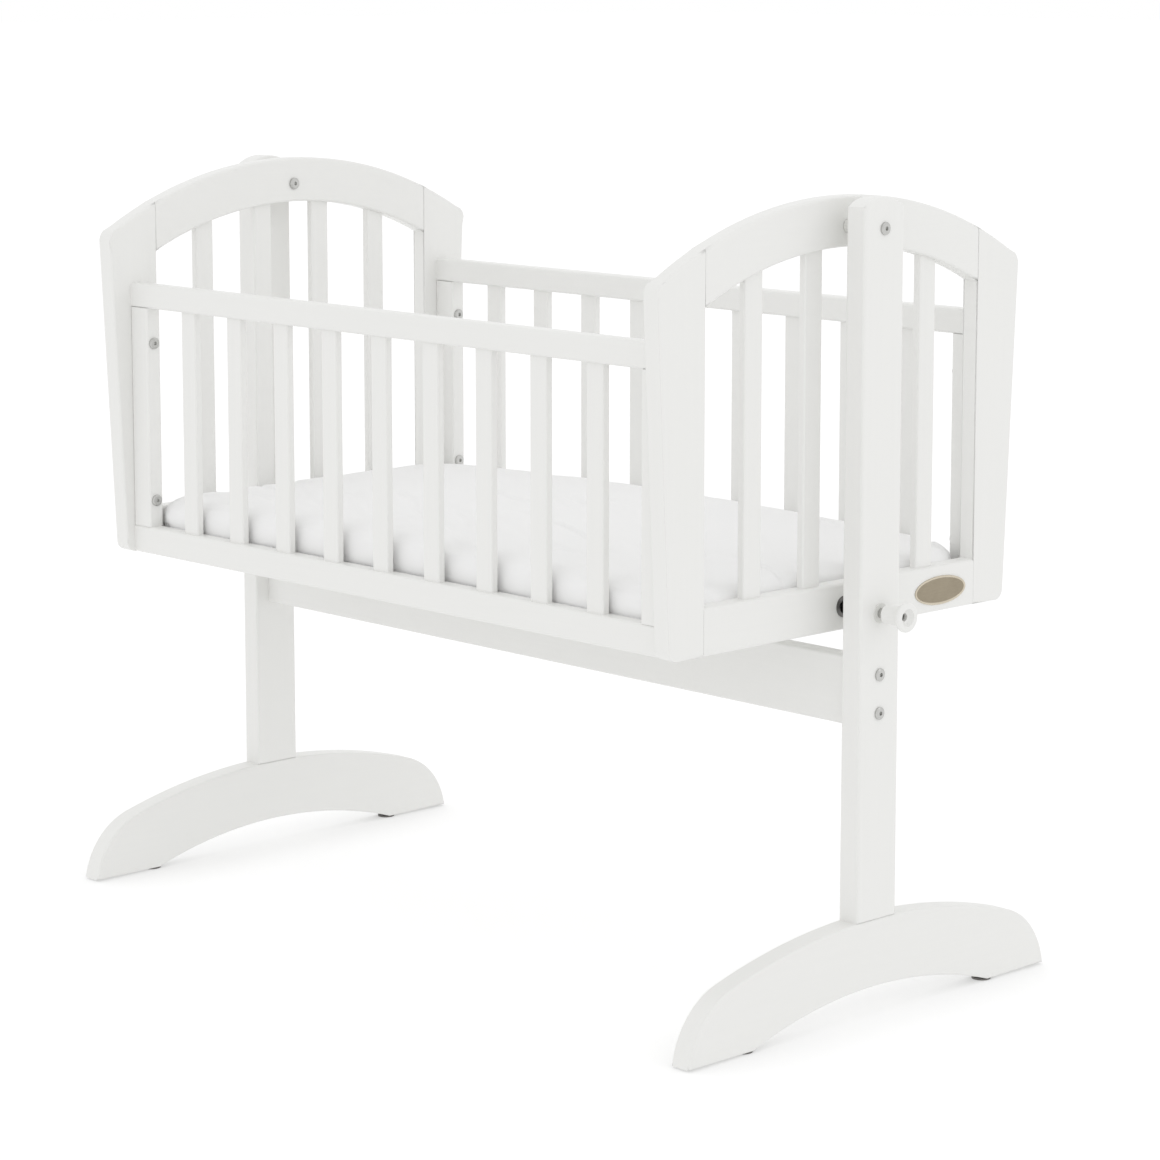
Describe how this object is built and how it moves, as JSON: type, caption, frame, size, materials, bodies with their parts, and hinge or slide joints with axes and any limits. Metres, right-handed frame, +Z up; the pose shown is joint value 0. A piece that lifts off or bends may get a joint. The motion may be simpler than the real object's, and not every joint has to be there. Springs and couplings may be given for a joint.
{
  "type": "swinging cradle on stand",
  "caption": "White slatted baby cradle with arched ends and a thin mattress, hung on pivots between the two posts of a stand with curved feet, with a lock pin on a knob.",
  "frame": {"origin": "on the floor, under the middle of the whole object's box, knob included", "axes": "+X along the cradle towards the end with the lock knob and badge, +Y across the cradle to the rear, +Z up"},
  "size_m": [1.0296, 0.5364, 0.831],
  "materials": {
    "white_paint": "solid wood under smooth satin white paint",
    "bare_wood": "bare pale hardwood",
    "steel": "zinc-plated steel, dull grey",
    "dark_steel": "blackened steel",
    "insert_brass": "plain brass",
    "badge_metal": "satin champagne-coloured metal",
    "white_nylon": "white nylon",
    "glide_plastic": "dark grey plastic",
    "white_cotton": "white cotton fitted sheet"
  },
  "bodies": {
    "stand": {"left_post": "white_paint", "right_post": "white_paint", "left_foot": "white_paint", "right_foot": "white_paint", "foot_glides": "glide_plastic", "foot_dowels": "bare_wood", "stretcher": "white_paint", "stretcher_bolts": "steel", "stretcher_barrel_nuts": "steel", "pivot_bolts": "steel", "pivot_sleeves": "steel", "pivot_spacers": "white_nylon", "lock_guide": "white_nylon"},
    "cradle": {"left_front_stile": "white_paint", "left_rear_stile": "white_paint", "left_top_rail": "white_paint", "left_bottom_rail": "white_paint", "left_slats": "white_paint", "right_front_stile": "white_paint", "right_rear_stile": "white_paint", "right_top_rail": "white_paint", "right_bottom_rail": "white_paint", "right_slats": "white_paint", "end_panel_dowels": "bare_wood", "pivot_bushes": "white_nylon", "lock_bush": "steel", "badge_plate": "badge_metal", "badge_pins": "badge_metal", "front_top_rail": "white_paint", "front_bottom_rail": "white_paint", "front_left_stile": "white_paint", "front_right_stile": "white_paint", "front_slats": "white_paint", "rear_top_rail": "white_paint", "rear_bottom_rail": "white_paint", "rear_left_stile": "white_paint", "rear_right_stile": "white_paint", "rear_slats": "white_paint", "side_panel_dowels": "bare_wood", "side_bolts": "steel", "side_inserts": "insert_brass", "base_board": "white_paint", "base_battens": "white_paint", "batten_screws": "steel", "mattress": "white_cotton"},
    "lock": {"lock_knob": "white_paint", "lock_pin": "steel", "lock_screw": "dark_steel"}
  },
  "joints": [
    {"name": "cradle_swing", "type": "hinge", "parent": "stand", "child": "cradle", "pos_m": [0, 0, 0.8], "axis": [1, 0, 0], "range_deg": [-15, 15]},
    {"name": "lock_slide", "type": "slide", "parent": "stand", "child": "lock", "axis": [1, 0, 0], "range_m": [0, 0.033]}
  ]
}
